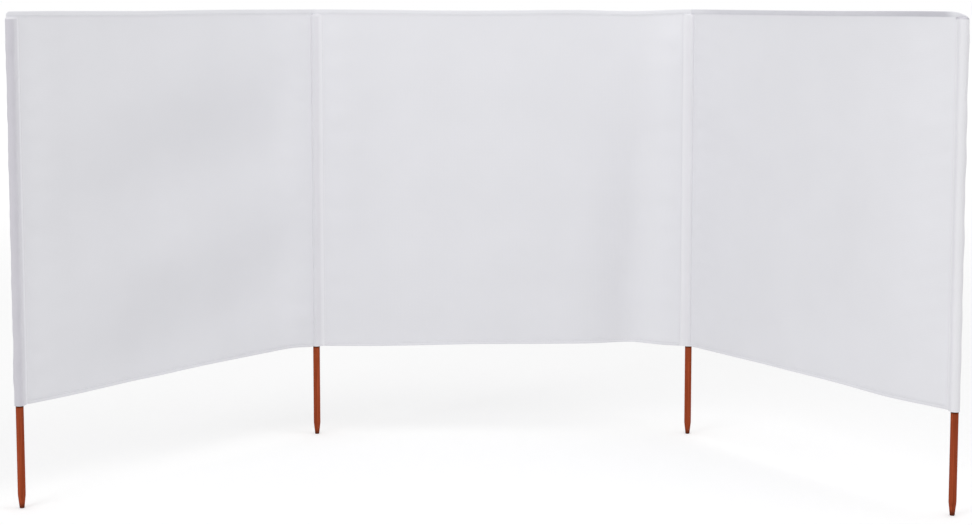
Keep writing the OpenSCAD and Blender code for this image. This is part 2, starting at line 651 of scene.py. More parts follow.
@dataclass(frozen=True)
class Drape:
    """How a bay's cloth hangs: swells, lines of its edges, a curl of its top hem and fine wrinkles.

    Lines, curl and shades are knots whose places are shares of the bay's length.
    """

    swells: tuple[Swell, ...]
    top_line: Knots
    bottom_line: Knots
    # Shares of painted shade on the panel and on its top hem: less of it paints the cloth lighter, more of
    # it darker.
    panel_painted_shade: Knots
    seed: int
    curl: Knots = LEVEL
    hem_painted_shade: Knots = LEVEL
    corner: Corner | None = None
    ripples: int = 9
    ripple_mm: float = 0.7
    ripple_wave_mm: tuple[float, float] = (120.0, 340.0)
    pulls: int = 5
    pull_mm: float = 1.1
    pull_wave_mm: tuple[float, float] = (55.0, 150.0)
    pull_reach_mm: tuple[float, float] = (50.0, 130.0)
    pull_lean: float = 0.5
    pull_start_mm: float = 14.0
    flat_mm: float = 36.0
    ease_mm: float = 170.0
    hem_mm: float = 18.0

    def offset(self, s: np.ndarray, z: np.ndarray, length: float, height: float) -> np.ndarray:
        """How far the cloth stands forward of its plane.

        Args:
            s: distances from the first pole, in millimetres
            z: heights above the cloth's bottom edge, in millimetres
            length: distance between the bay's poles, in millimetres
            height: height of the cloth, in millimetres

        Returns:
            offsets in millimetres
        """
        held = np.minimum(s, length - s) - self.flat_mm
        free = smooth(held / self.ease_mm)
        result = sum(swell.offset(s, z) for swell in self.swells) * free
        draw = np.random.default_rng(self.seed)
        for _ in range(self.ripples):
            wave = draw.uniform(*self.ripple_wave_mm)
            turn = draw.uniform(0.0, math.pi)
            shift = draw.uniform(0.0, math.tau)
            phase = (s * math.cos(turn) + z * math.sin(turn)) * math.tau / wave + shift
            result = result + self.ripple_mm * np.sin(phase) * free / math.sqrt(self.ripples)
        for _ in range(self.pulls):
            wave = draw.uniform(*self.pull_wave_mm)
            lean = draw.uniform(-self.pull_lean, self.pull_lean)
            shift = draw.uniform(0.0, math.tau)
            reach = draw.uniform(*self.pull_reach_mm)
            phase = (z + lean * held) * math.tau / wave + shift
            near = np.exp(-np.maximum(held, 0.0) / reach) * smooth(held / self.pull_start_mm)
            result = result + self.pull_mm * np.sin(phase) * near / 2.0
        near_top = smooth((z - (height - self.hem_mm)) / self.hem_mm)
        return result + along_knots(s / length, self.curl) * near_top

    def lift(self, s: np.ndarray, z: np.ndarray, length: float, height: float) -> np.ndarray:
        """How far the cloth is lifted by the lines of its edges.

        Args:
            s: distances from the first pole, in millimetres
            z: heights above the cloth's bottom edge, in millimetres
            length: distance between the bay's poles, in millimetres
            height: height of the cloth, in millimetres

        Returns:
            lifts in millimetres
        """
        share = np.clip(z / height, 0.0, 1.0)
        low = along_knots(s / length, self.bottom_line)
        high = along_knots(s / length, self.top_line)
        return low * (1.0 - share) ** 2 + high * share**2


@dataclass(frozen=True)
class Bay:
    """A bay's own frame: s runs out from its first pole, n towards the sheltered side.

    Its poles are named from left to right, and an outer bay's first pole is the inner one.
    """

    name: str
    body: str
    poles: tuple[str, str]
    first: np.ndarray
    last: np.ndarray
    drape: Drape
    sizes: Sizes

    @property
    def length(self) -> float:
        """Distance between the bay's poles, in metres."""
        return float(np.linalg.norm(self.last - self.first))

    @property
    def along(self) -> np.ndarray:
        """Direction from the first pole to the last."""
        return (self.last - self.first) / self.length

    @property
    def front(self) -> np.ndarray:
        """Direction towards the sheltered side, level and square to the bay."""
        square = np.cross(self.along, UP)
        return square if square[1] < 0 else -square

    def place(self, s: np.ndarray, n: np.ndarray, z: np.ndarray) -> np.ndarray:
        """Points of the bay's frame, with nothing draped.

        Args:
            s: distances from the first pole, in metres
            n: distances in front of the bay's plane, in metres
            z: heights, in metres

        Returns:
            points in metres
        """
        s, n, z = np.broadcast_arrays(s, n, z)
        return self.first + s[..., None] * self.along + n[..., None] * self.front + z[..., None] * UP

    def drape_place(self, s: np.ndarray, n: np.ndarray, z: np.ndarray) -> np.ndarray:
        """Points on or beside the draped cloth.

        Args:
            s: distances from the first pole, in metres
            n: distances in front of the bay's plane before draping, in metres
            z: heights before draping, in metres

        Returns:
            points in metres
        """
        s, n, z = np.broadcast_arrays(s, n, z)
        spot = s / MM, (z - self.sizes.bottom) / MM
        whole = self.length / MM, (self.sizes.top - self.sizes.bottom) / MM
        return self.place(
            s, n + self.drape.offset(*spot, *whole) * MM, z + self.drape.lift(*spot, *whole) * MM
        )


class Edge(Enum):
    """Which edge of a bay a hem closes."""

    TOP = "top"
    BOTTOM = "bottom"


@dataclass
class Panel:
    """One bay's sheet of cloth between its two poles."""

    bay: Bay
    s0: float
    s1: float
    follows_crown: bool
    step: float = 10.0 * MM
    inset: float = 1.4 * MM
    crown_rows: int = 7

    def build(self, material: Material) -> Object:
        """Builds the panel's sheet.

        Args:
            material: the cloth's material

        Returns:
            the panel
        """
        sizes = self.bay.sizes
        columns = round((self.s1 - self.s0) / self.step) + 1
        rows = round((sizes.crown_base - sizes.bottom) / self.step) + 1
        turn = np.linspace(0.0, math.pi / 2, self.crown_rows)[1:]
        heights = np.concatenate(
            [
                np.linspace(sizes.bottom + self.inset, sizes.crown_base, rows),
                sizes.crown_base + sizes.crown_h * np.sin(turn),
                [sizes.top - self.inset],
            ]
        )
        s, z = np.meshgrid(np.linspace(self.s0, self.s1, columns), heights)
        if self.follows_crown:
            close = np.concatenate([np.ones(rows), np.cos(turn), [0.0]])[:, None]
            s = s - self.s0 * (1.0 - close) * (self.s1 - s) / (self.s1 - self.s0)
        middle = self.bay.drape_place(s, np.full_like(s, sizes.cloth_n), z)
        uv = np.stack([s, z], axis=-1)
        # Painted light: the cloth is drawn lighter near its poles.
        shade = along_knots(s / self.bay.length, self.bay.drape.panel_painted_shade)
        return sheet_object(f"{self.bay.name}_panel_cloth", middle, sizes.cloth_t, uv, shade, material)


@dataclass
class Hem:
    """A folded hem over one edge of a bay, sewn through the panel between its two layers."""

    bay: Bay
    edge: Edge
    s0: float
    s1: float
    corner: Corner | None = None
    # Share of painted shade along the hem, from its first pole to its last.
    shade: Knots = LEVEL
    step: float = 8.0 * MM
    fold_r: float = 1.05 * MM
    puff: float = 0.3 * MM
    seam_inset: float = 3.2 * MM
    seam_short: float = 8.0 * MM
    seam_step: float = 4.0 * MM
    least: float = 3.0 * MM
    thin: float = 0.85
    flat_points: int = 6
    fold_points: int = 9
    end_points: int = 5
    end_turn: float = 0.48 * math.pi

    @property
    def height(self) -> float:
        """Height of the hem, in metres."""
        sizes = self.bay.sizes
        return sizes.top_hem if self.edge is Edge.TOP else sizes.bottom_hem

    def droop(self, s: np.ndarray) -> np.ndarray:
        """How far the edge droops over the end pole.

        Args:
            s: distances from the first pole, in metres

        Returns:
            droops in metres
        """
        if self.corner is None:
            return np.zeros_like(s)
        radius = self.corner.radius
        over = np.clip(s - (self.bay.length + self.corner.start), 0.0, radius * self.corner.reach)
        return radius - np.sqrt(radius**2 - over**2)

    def points(self, s: np.ndarray, n: np.ndarray, depth: np.ndarray) -> np.ndarray:
        """Points of the hem.

        Args:
            s: distances from the first pole, in metres
            n: distances in front of the bay's plane before draping, in metres
            depth: distances in from the hem's edge, in metres

        Returns:
            points in metres
        """
        s, n, depth = np.broadcast_arrays(s, n, depth)
        sizes = self.bay.sizes
        if self.edge is Edge.BOTTOM:
            return self.bay.drape_place(s, n, sizes.bottom + depth)
        droop = self.droop(s)
        room = np.maximum(self.height - droop, self.least)
        return self.bay.drape_place(s, n, sizes.top - droop - depth * room / self.height)

    def profile(self) -> tuple[np.ndarray, np.ndarray]:
        """Section of the hem's middle layer, from the back edge over the fold to the front edge.

        Returns:
            distances in front of the bay's plane and distances in from the edge, in metres
        """
        flat = np.linspace(self.height, self.fold_r, self.flat_points)
        turn = np.linspace(0.0, math.pi, self.fold_points)[1:-1]
        swell = self.puff * np.sin(math.pi * np.clip(flat / (self.height - self.seam_inset), 0.0, 1.0))
        n = np.concatenate(
            [-self.fold_r - swell, -self.fold_r * np.cos(turn), (self.fold_r + swell)[::-1]]
        )
        depth = np.concatenate([flat, self.fold_r * (1.0 - np.sin(turn)), flat[::-1]])
        return n + self.bay.sizes.cloth_n, depth

    def build(self, material: Material) -> Object:
        """Builds the hem.

        Args:
            material: the hem's material

        Returns:
            the hem
        """
        sizes = self.bay.sizes
        turn = np.linspace(0.0, self.end_turn, self.end_points)[1:]
        first, last = self.s0 + self.fold_r, self.s1 - self.fold_r
        columns = round((last - first) / self.step) + 1
        bend = self.fold_r * np.sin(turn)
        s = np.concatenate([first - bend[::-1], np.linspace(first, last, columns), last + bend])[None, :]
        close = np.concatenate([np.cos(turn)[::-1], np.ones(columns), np.cos(turn)])[None, :]
        n, depth = self.profile()
        spread = (n[:, None] - sizes.cloth_n) * close + sizes.cloth_n
        middle = self.points(s, spread, depth[:, None])
        run = np.concatenate([[0.0], np.cumsum(path_steps(n, depth))])
        uv = np.stack(np.broadcast_arrays(s, run[:, None]), axis=-1)
        # Painted shade: the hem is darker where it leans out of the light.
        shade = np.broadcast_to(along_knots(s / self.bay.length, self.shade), middle.shape[:2])
        name = f"{self.bay.name}_{self.edge.value}_hem_cloth"
        return sheet_object(name, middle, sizes.cloth_t * self.thin, uv, shade, material)

    def seam_lines(self) -> list[np.ndarray]:
        """Lines of the hem's stitches on its front and its back.

        Returns:
            two lines of points in metres
        """
        sizes = self.bay.sizes
        s = np.arange(self.s0 + self.seam_short, self.s1 - self.seam_short, self.seam_step)
        depth = np.full_like(s, self.height - self.seam_inset)
        stand = self.fold_r + sizes.cloth_t / 2
        return [self.points(s, np.full_like(s, sizes.cloth_n + side * stand), depth) for side in (1, -1)]


# Sleeves


@dataclass
class Sleeve:
    """Cloth sleeve round one pole: a tube with a tail that is sewn to the bay, closed at its top."""

    name: str
    bay: Bay
    axis: np.ndarray
    tail: np.ndarray
    seed: int
    # Shares of painted shade: on the round part from its tail side to its far side, by the seam, and on the
    # top.
    shade: tuple[float, float]
    seam_painted_shade: float = 0.22
    seam_blend: float = 1.25
    crown_painted_shade: float = 0.4
    crown_blend: float = 0.6
    crown_rows: int = 9
    crown_width: float = 0.94
    crown_least: float = 0.05
    lump: float = 0.8 * MM
    waves: int = 10
    waves_height: float = 3.0
    wave_mm: tuple[float, float] = (50.0, 320.0)
    most_laps: int = 2
    even: float = 14.0 * MM
    fade: float = 40.0 * MM
    step: float = 11.0 * MM
    seam_gap: float = 0.95 * MM
    seam_step: float = 4.0 * MM
    seam_points: int = 4
    wall_points: int = 12
    arc_points: int = 20
    round_from: float = 0.4

    def section(self) -> tuple[np.ndarray, np.ndarray, np.ndarray]:
        """Section of the sleeve's middle layer, from the front of the seam round the pole to its back.

        Returns:
            distances along the tail and in front of the bay's plane, in metres, and a share that is
            one on the round part and falls to zero at the seam
        """
        sizes = self.bay.sizes
        r = sizes.sleeve_r - sizes.cloth_t / 2
        seam_x = sizes.seam_end - sizes.seam_w
        halves = []
        for side in (1.0, -1.0):
            lip = np.array([seam_x, sizes.cloth_n + side * self.seam_gap])
            touch = side * math.atan2(side * lip[1], lip[0]) + side * math.acos(r / np.linalg.norm(lip))
            edge = r * np.array([math.cos(touch), math.sin(touch)])
            seam = np.linspace([sizes.seam_end, lip[1]], lip, self.seam_points, endpoint=False)
            wall = np.linspace(lip, edge, self.wall_points, endpoint=False)
            turn = np.linspace(touch, side * math.pi, self.arc_points)
            arc = r * np.stack([np.cos(turn), np.sin(turn)], axis=-1)
            halves.append(np.concatenate([seam, wall, arc]))
        path = np.concatenate([halves[0], halves[1][-2::-1]])
        round_share = smooth((seam_x - path[:, 0]) / (seam_x - self.round_from * r))
        return path[:, 0], path[:, 1], round_share

    def lumps(self, around: np.ndarray, z: np.ndarray, round_share: np.ndarray) -> np.ndarray:
        """How far loose cloth stands off the plain sleeve.

        Args:
            around: angles round the pole
            z: heights, in metres
            round_share: share of the round part, by angle

        Returns:
            distances in metres, heights by angles
        """
        draw = np.random.default_rng(self.seed)
        stand = np.zeros((len(z), len(around)))
        # The waves together stand about three times as high as one.
        for _ in range(self.waves):
            wave = draw.uniform(*self.wave_mm) * MM
            laps = draw.integers(0, self.most_laps + 1)
            shift = draw.uniform(0.0, math.tau)
            phase = z[:, None] * math.tau / wave + laps * around[None, :] + shift
            stand += np.sin(phase) / self.waves_height
        sizes = self.bay.sizes
        end = np.minimum(sizes.crown_base - z, z - sizes.bottom - self.even)[:, None]
        return stand * (self.lump * round_share[None, :] * smooth(end / self.fade))

    def tones(self, x: np.ndarray, z: np.ndarray, round_share: np.ndarray) -> np.ndarray:
        """Share of the sleeve's darker tone, by which light and shade are painted on it.

        Args:
            x: distances along the tail, in metres
            z: heights, in metres
            round_share: share of the round part, by distance

        Returns:
            shares, heights by distances
        """
        sizes = self.bay.sizes
        # Painted light and shade: the round part goes from its tail side's share to its far side's, for the
        # pole's shadow through the cloth; the seam takes a lighter share, and the top a share that paints
        # the shadow under the hem.
        far_side = smooth(0.5 - x / sizes.sleeve_r)
        tone = self.shade[0] + (self.shade[1] - self.shade[0]) * far_side
        tone = self.seam_painted_shade + (tone - self.seam_painted_shade) * smooth(self.seam_blend * round_share)
        crown = smooth((z[:, None] - sizes.crown_base) / (self.crown_blend * sizes.crown_h))
        return tone[None, :] + (self.crown_painted_shade - tone[None, :]) * crown

    def build(self, material: Material) -> Object:
        """Builds the sleeve with its closed top.

        Args:
            material: the sleeve's material

        Returns:
            the sleeve
        """
        sizes = self.bay.sizes
        x, y, round_share = self.section()
        base = sizes.crown_base
        rows = round((base - sizes.bottom) / self.step) + 1
        turn = np.linspace(0.0, math.pi / 2, self.crown_rows)[1:]
        z = np.concatenate([np.linspace(sizes.bottom, base, rows), base + sizes.crown_h * np.sin(turn)])
        close = np.concatenate([np.ones(rows), np.maximum(np.cos(turn), self.crown_least)])[:, None]
        stand = self.lumps(np.arctan2(y, x), z, round_share)
        scale = 1.0 + stand / np.hypot(x, y)[None, :]
        lengthwise = x[None, :] * scale
        narrow = self.crown_width + (1.0 - self.crown_width) * close
        lengthwise = np.where(lengthwise < 0, lengthwise * narrow, lengthwise)
        across = (y[None, :] - sizes.cloth_n) * scale * close + sizes.cloth_n
        middle = (
            self.axis
            + lengthwise[..., None] * self.tail
            + across[..., None] * self.bay.front
            + np.broadcast_to(z[:, None], stand.shape)[..., None] * UP
        )
        run = np.concatenate([[0.0], np.cumsum(path_steps(x, y))])
        uv = np.stack(np.broadcast_arrays(run[None, :], z[:, None]), axis=-1)
        shade = self.tones(x, z, round_share)
        return sheet_object(f"{self.name}_sleeve_cloth", middle, sizes.cloth_t, uv, shade, material)

    def seam_lines(self) -> list[np.ndarray]:
        """Lines of the sleeve's stitches, down both faces of its seam.

        Returns:
            two lines of points in metres
        """
        sizes = self.bay.sizes
        z = np.arange(sizes.bottom + self.seam_step, sizes.sleeve_top - self.seam_step, self.seam_step)
        x = sizes.seam_end - sizes.seam_w / 2
        stand = self.seam_gap + sizes.cloth_t / 2
        return [
            self.axis + x * self.tail + (sizes.cloth_n + side * stand) * self.bay.front + z[:, None] * UP
            for side in (1.0, -1.0)
        ]


# Poles

RING_CROWDING = 1.7
SWELL_DRAW = 9.0
SWELL_SCALE = 2.0

Step = tuple[str, str, str | None, tuple | dict]


def rounding_steps(name: str, edge: str, rounding: str) -> tuple[Step, ...]:
    """Steps of the radius of an edge that is rounded over.

    Args:
        name: the result's name, for which the step "NAME beyond" is known
        edge: name of the edge's full radius
        rounding: name of the rounding's radius

    Returns:
        the steps in order
    """
    return (
        (f"{name} reach", MATH, "MAXIMUM", (f"{name} beyond", 0.0)),
        (f"{name} whole", MATH, "MULTIPLY", (rounding, rounding)),
        (f"{name} taken", MATH, "MULTIPLY", (f"{name} reach", f"{name} reach")),
        (f"{name} left", MATH, "SUBTRACT", (f"{name} whole", f"{name} taken")),
        (f"{name} kept", MATH, "MAXIMUM", (f"{name} left", 0.0)),
        (f"{name} arc", MATH, "SQRT", (f"{name} kept",)),
        (f"{name} core", MATH, "SUBTRACT", (edge, rounding)),
        (name, MATH, "ADD", (f"{name} core", f"{name} arc")),
    )


# A pole's shape in steps: each one's name, its kind of node, its operation and its terms, which are
# numbers or the names of inputs and earlier steps.
POLE_STEPS: tuple[Step, ...] = (
    # Rings lie closest at the point, where the shape changes most.
    ("rise", MATH, "ADD", ("unit z", 0.5)),
    ("share", MATH, "MAXIMUM", ("rise", 0.0)),
    ("crowded", MATH, "POWER", ("share", RING_CROWDING)),
    ("z", MATH, "MULTIPLY", ("Length", "crowded")),
    # The point widens evenly from its tip to the shaft.
    ("gain", MATH, "SUBTRACT", ("Radius", "Point Radius")),
    ("run", MATH, "SUBTRACT", ("Point Length", "Point Rounding")),
    ("slope", MATH, "DIVIDE", ("gain", "run")),
    ("above tip", MATH, "SUBTRACT", ("z", "Point Rounding")),
    ("widening", MATH, "MULTIPLY", ("slope", "above tip")),
    ("taper", MATH, "ADD", ("Point Radius", "widening")),
    ("taper kept", MATH, "MAXIMUM", ("taper", 0.0)),
    # The tip's rounding counts only below its centre, and the top's only above.
    ("tip beyond", MATH, "SUBTRACT", ("Point Rounding", "z")),
    *rounding_steps("tip", "Point Radius", "Point Rounding"),
    ("past tip", MATH, "GREATER_THAN", ("z", "Point Rounding")),
    ("tip limit", MATH, "ADD", ("tip", "past tip")),
    ("head centre", MATH, "SUBTRACT", ("Length", "Top Rounding")),
    ("head beyond", MATH, "SUBTRACT", ("z", "head centre")),
    *rounding_steps("head", "Radius", "Top Rounding"),
    ("pointed", MATH, "MINIMUM", ("taper kept", "tip limit")),
    ("plain", MATH, "MINIMUM", ("pointed", "head")),
    # Turning leaves long shallow swells.
    ("drawn z", MATH, "MULTIPLY", ("z", SWELL_DRAW)),
    ("drawn", COMBINE, None, ("unit x", "unit y", "drawn z")),
    ("around", VECTOR_MATH, "ADD", ("drawn", "Foot")),
    ("uneven", NOISE, None, {"Vector": "around", "Scale": SWELL_SCALE, "Detail": 2.0}),
    ("off", MATH, "SUBTRACT", ("uneven", 0.5)),
    ("swell", MATH, "MULTIPLY", ("off", "Unevenness")),
    ("final", MATH, "ADD", ("plain", "swell")),
    ("x", MATH, "MULTIPLY", ("unit x", "final")),
    ("y", MATH, "MULTIPLY", ("unit y", "final")),
    ("spot", COMBINE, None, ("x", "y", "z")),
    ("placed", VECTOR_MATH, "ADD", ("spot", "Foot")),
)


@dataclass
class Poles:
    """The four turned poles, made by one rule: a blunt point, a taper, a shaft and a rounded top."""

    sizes: Sizes
    point_l: float = 42.0 * MM
    point_r: float = 7.5 * MM
    point_round: float = 2.5 * MM
    top_round: float = 5.0 * MM
    unevenness: float = 0.22 * MM
    sides: int = 32
    rings: int = 150

    def rule(self) -> NodeTree:
        """Makes the rule of a pole's shape.

        Returns:
            a Geometry Nodes tree that makes one pole on its foot
        """
        lengths = ("Length", "Radius", "Point Length", "Point Radius", "Point Rounding", "Top Rounding")
        sockets = {name: "NodeSocketFloat" for name in (*lengths, "Unevenness")}
        sockets |= {"Sides": "NodeSocketInt", "Rings": "NodeSocketInt", "Foot": "NodeSocketVector"}
        sockets |= {"Wood": "NodeSocketMaterial"}
        tree, given = new_rule("turned pole", sockets)
        blank = add_node(
            tree,
            "GeometryNodeMeshCylinder",
            {"fill_type": "NGON"},
            {
                "Vertices": given.outputs["Sides"],
                "Side Segments": given.outputs["Rings"],
                "Radius": 1.0,
                "Depth": 1.0,
            },
        )
        start = add_node(tree, "GeometryNodeInputPosition")
        parts = add_node(tree, "ShaderNodeSeparateXYZ", inputs={"Vector": start.outputs[0]})
        known = {name: given.outputs[name] for name in sockets}
        known |= {f"unit {axis.lower()}": parts.outputs[axis] for axis in ("X", "Y", "Z")}
        for name, kind, operation, terms in POLE_STEPS:
            pairs = terms.items() if isinstance(terms, dict) else enumerate(terms)
            inputs = {key: known.get(term, term) for key, term in pairs}
            settings = {"operation": operation} if operation else {}
            known[name] = add_node(tree, kind, settings, inputs).outputs[0]
        turned = add_node(
            tree,
            "GeometryNodeSetPosition",
            inputs={"Geometry": blank.outputs["Mesh"], "Position": known["placed"]},
        )
        close_rule(tree, turned.outputs["Geometry"], given.outputs["Wood"])
        return tree

    def build(self, wood: Material, nodes: list[str]) -> list[Object]:
        """Builds the poles.

        Args:
            wood: the poles' material
            nodes: the CAD nodes that they stand for

        Returns:
            the poles, in the nodes' order
        """
        tree = self.rule()
        made = []
        for node in nodes:
            name = f"{node}_wood"
            obj = new_object(name, bpy.data.meshes.new(name))
            run_rule(
                obj,
                tree,
                {
                    "Length": self.sizes.pole_l,
                    "Radius": self.sizes.pole_r,
                    "Point Length": self.point_l,
                    "Point Radius": self.point_r,
                    "Point Rounding": self.point_round,
                    "Top Rounding": self.top_round,
                    "Unevenness": self.unevenness,
                    "Sides": self.sides,
                    "Rings": self.rings,
                    "Foot": pole_axis(node).tolist(),
                    "Wood": wood,
                },
            )
            made.append(obj)
        return made


# Stitches


@dataclass
class Stitches:
    """Lockstitch seams of one body, each stitch a short proud length of thread.

    Such seams have stitches of about 3 mm in a thread of a third of a millimetre. Both are drawn coarser
    to show.
    """

    name: str
    lines: list[np.ndarray] = field(default_factory=list)
    pitch: float = 6.0 * MM
    stitch: float = 4.4 * MM
    least_half: float = 0.43
    most_half: float = 0.52
    thread_r: float = 0.5 * MM
    sides: int = 6
    rings: int = 4
    seed: int = 7

    def rule(self) -> NodeTree:
        """Makes the rule that sets stitches along lines.

        Returns:
            a Geometry Nodes tree that turns lines into stitches
        """
        sockets = {
            "Geometry": "NodeSocketGeometry",
            "Pitch": "NodeSocketFloat",
            "Stitch Length": "NodeSocketFloat",
            "Thread Radius": "NodeSocketFloat",
            "Seed": "NodeSocketInt",
            "Thread": "NodeSocketMaterial",
        }
        tree, given = new_rule("stitched seam", sockets)
        curve = add_node(tree, "GeometryNodeMeshToCurve", inputs={"Mesh": given.outputs["Geometry"]})
        marks = add_node(
            tree,
            "GeometryNodeCurveToPoints",
            {"mode": "LENGTH"},
            {"Curve": curve.outputs["Curve"], "Length": given.outputs["Pitch"]},
        )
        bead = add_node(
            tree,
            "GeometryNodeMeshUVSphere",
            inputs={"Segments": self.sides, "Rings": self.rings, "Radius": 1.0},
        )
        lie = add_node(
            tree, "FunctionNodeAlignRotationToVector", {"axis": "X"}, {"Vector": marks.outputs["Tangent"]}
        )
        vary = add_node(
            tree,
            "FunctionNodeRandomValue",
            {"data_type": "FLOAT"},
            {2: self.least_half, 3: self.most_half, "Seed": given.outputs["Seed"]},
        )
        half = add_node(
            tree, MATH, {"operation": "MULTIPLY"}, {0: given.outputs["Stitch Length"], 1: vary.outputs[1]}
        )
        size = add_node(
            tree,
            COMBINE,
            inputs={
                "X": half.outputs[0],
                "Y": given.outputs["Thread Radius"],
                "Z": given.outputs["Thread Radius"],
            },
        )
        set_in = add_node(
            tree,
            "GeometryNodeInstanceOnPoints",
            inputs={
                "Points": marks.outputs["Points"],
                "Instance": bead.outputs["Mesh"],
                "Rotation": lie.outputs["Rotation"],
                "Scale": size.outputs[0],
            },
        )
        close_rule(tree, set_in.outputs["Instances"], given.outputs["Thread"])
        return tree

    def build(self, thread: Material) -> Object:
        """Builds the stitches.

        Args:
            thread: the thread's material

        Returns:
            all the stitches as one piece
        """
        points = np.concatenate(self.lines)
        ends = np.cumsum([len(line) for line in self.lines])
        last = set((ends - 1).tolist())
        edges = [(i, i + 1) for i in range(len(points) - 1) if i not in last]
        mesh = bpy.data.meshes.new(self.name)
        mesh.from_pydata(points.tolist(), edges, [])
        obj = new_object(self.name, mesh)
        run_rule(
            obj,
            self.rule(),
            {
                "Pitch": self.pitch,
                "Stitch Length": self.stitch,
                "Thread Radius": self.thread_r,
                "Seed": self.seed,
                "Thread": thread,
            },
        )
        return obj


# Studio


@dataclass(frozen=True)
class SoftBox:
    """A large square lamp: its place, its power in watts and its side in metres."""

    name: str
    at: tuple[float, float, float]
    watts: float
    side: float = 3.5

    def build(self, aim: tuple[float, float, float]) -> None:
        """Builds the lamp.

        Args:
            aim: point that it faces
        """
        lamp = bpy.data.lights.new(self.name, "AREA")
        lamp.shape = "SQUARE"
        lamp.size = self.side
        lamp.energy = self.watts
        obj = new_object(self.name, lamp)
        obj.location = self.at
        obj.rotation_euler = (Vector(aim) - Vector(self.at)).to_track_quat("-Z", "Y").to_euler()
        obj.visible_camera = False


@dataclass(frozen=True)
class Studio:
    """Pale floor, soft light and the camera at the photograph's viewing angle."""

    camera_at: tuple[float, float, float] = (0.599, -7.057, 1.562)
    pitch_deg: float = -5.92
    yaw_deg: float = 0.07
    lens_mm: float = 73.85
    sensor_mm: float = 36.0
    shift_y: float = -0.06
    floor_size: float = 120.0
    floor_colour: str = "#EDEDED"
    near_lift: float = 0.2
    far_lift: float = 0.36
    far: float = 12.0
    sky: float = 0.785
    lamps: tuple[SoftBox, ...] = (
        SoftBox("left soft box", (-4.0, -6.2, 4.5), 122.0),
        SoftBox("right soft box", (2.2, -1.0, 3.6), 20.0, 2.0),
    )
    lit: tuple[float, float, float] = (0.6, -0.4, 0.8)

    def build(self) -> None:
        """Builds the floor, the lights and the camera."""
        self.build_floor()
        self.build_light()
        self.build_camera()
        bpy.context.scene.view_settings.view_transform = "Standard"

    def build_floor(self) -> None:
        """Builds the floor under the poles' points."""
        half = self.floor_size / 2
        mesh = bpy.data.meshes.new("floor")
        corners = [(-half, -half, 0), (half, -half, 0), (half, half, 0), (-half, half, 0)]
        mesh.from_pydata(corners, [], [(0, 1, 2, 3)])
        material, tree = new_material("matt white board")
        # The camera sees the board lifted to white, more so where less light falls on it. This lights
        # nothing, and the shadow stays.
        place = add_node(tree, "ShaderNodeTexCoord")
        away = add_node(tree, VECTOR_MATH, {"operation": "LENGTH"}, {0: place.outputs["Object"]})
        level = add_node(
            tree,
            MAP_RANGE,
            {"interpolation_type": "SMOOTHSTEP"},
            {
                "Value": away.outputs["Value"],
                "From Min": 0.0,
                "From Max": self.far,
                "To Min": self.near_lift,
                "To Max": self.far_lift,
            },
        )
        lift = add_node(
            tree, MATH, {"operation": "MULTIPLY"}, {0: self.seen_rays(tree), 1: level.outputs["Result"]}
        )
        shader = add_node(
            tree,
            "ShaderNodeBsdfPrincipled",
            inputs={
                "Base Color": linear(self.floor_colour),
                "Roughness": 0.9,
                "Specular IOR Level": 0.1,
                "Emission Color": (1, 1, 1, 1),
                "Emission Strength": lift.outputs[0],
            },
        )
        add_node(tree, "ShaderNodeOutputMaterial", inputs={"Surface": shader.outputs["BSDF"]})
        mesh.materials.append(material)
        new_object("floor", mesh)

    def seen_rays(self, tree: NodeTree) -> Socket:
        """Picks out the rays of what the camera sees, in a mirror or through glass too.

        Args:
            tree: shader tree that takes the nodes

        Returns:
            a socket that is one for such rays and zero for light that falls on things
        """
        rays = add_node(tree, "ShaderNodeLightPath")
        mirrored = add_node(
            tree,
            MATH,
            {"operation": "MAXIMUM"},
            {0: rays.outputs["Is Glossy Ray"], 1: rays.outputs["Is Transmission Ray"]},
        )
        seen = add_node(
            tree,
            MATH,
            {"operation": "MAXIMUM"},
            {0: rays.outputs["Is Camera Ray"], 1: mirrored.outputs[0]},
        )
        return seen.outputs[0]

    def build_light(self) -> None:
        """Builds an even white surround and the soft lamps."""
        world = bpy.data.worlds.new("studio")
        world.use_nodes = True
        tree = world.node_tree
        tree.nodes.clear()
        light = add_node(tree, "ShaderNodeBackground", inputs={"Color": (1, 1, 1, 1), "Strength": self.sky})
        shown = add_node(tree, "ShaderNodeBackground", inputs={"Color": (1, 1, 1, 1), "Strength": 1.0})
        either = add_node(
            tree,
            "ShaderNodeMixShader",
            inputs={0: self.seen_rays(tree), 1: light.outputs[0], 2: shown.outputs[0]},
        )
        add_node(tree, "ShaderNodeOutputWorld", inputs={"Surface": either.outputs[0]})
        bpy.context.scene.world = world
        for lamp in self.lamps:
            lamp.build(self.lit)

    def build_camera(self) -> None:
        """Builds the camera."""
        lens = bpy.data.cameras.new("camera")
        lens.lens = self.lens_mm
        lens.sensor_width = self.sensor_mm
        lens.shift_y = self.shift_y
        camera = new_object("camera", lens)
        camera.location = self.camera_at
        camera.rotation_euler = (
            math.radians(90.0 + self.pitch_deg),
            0.0,
            math.radians(-self.yaw_deg),
        )
        bpy.context.scene.camera = camera


# The windbreak


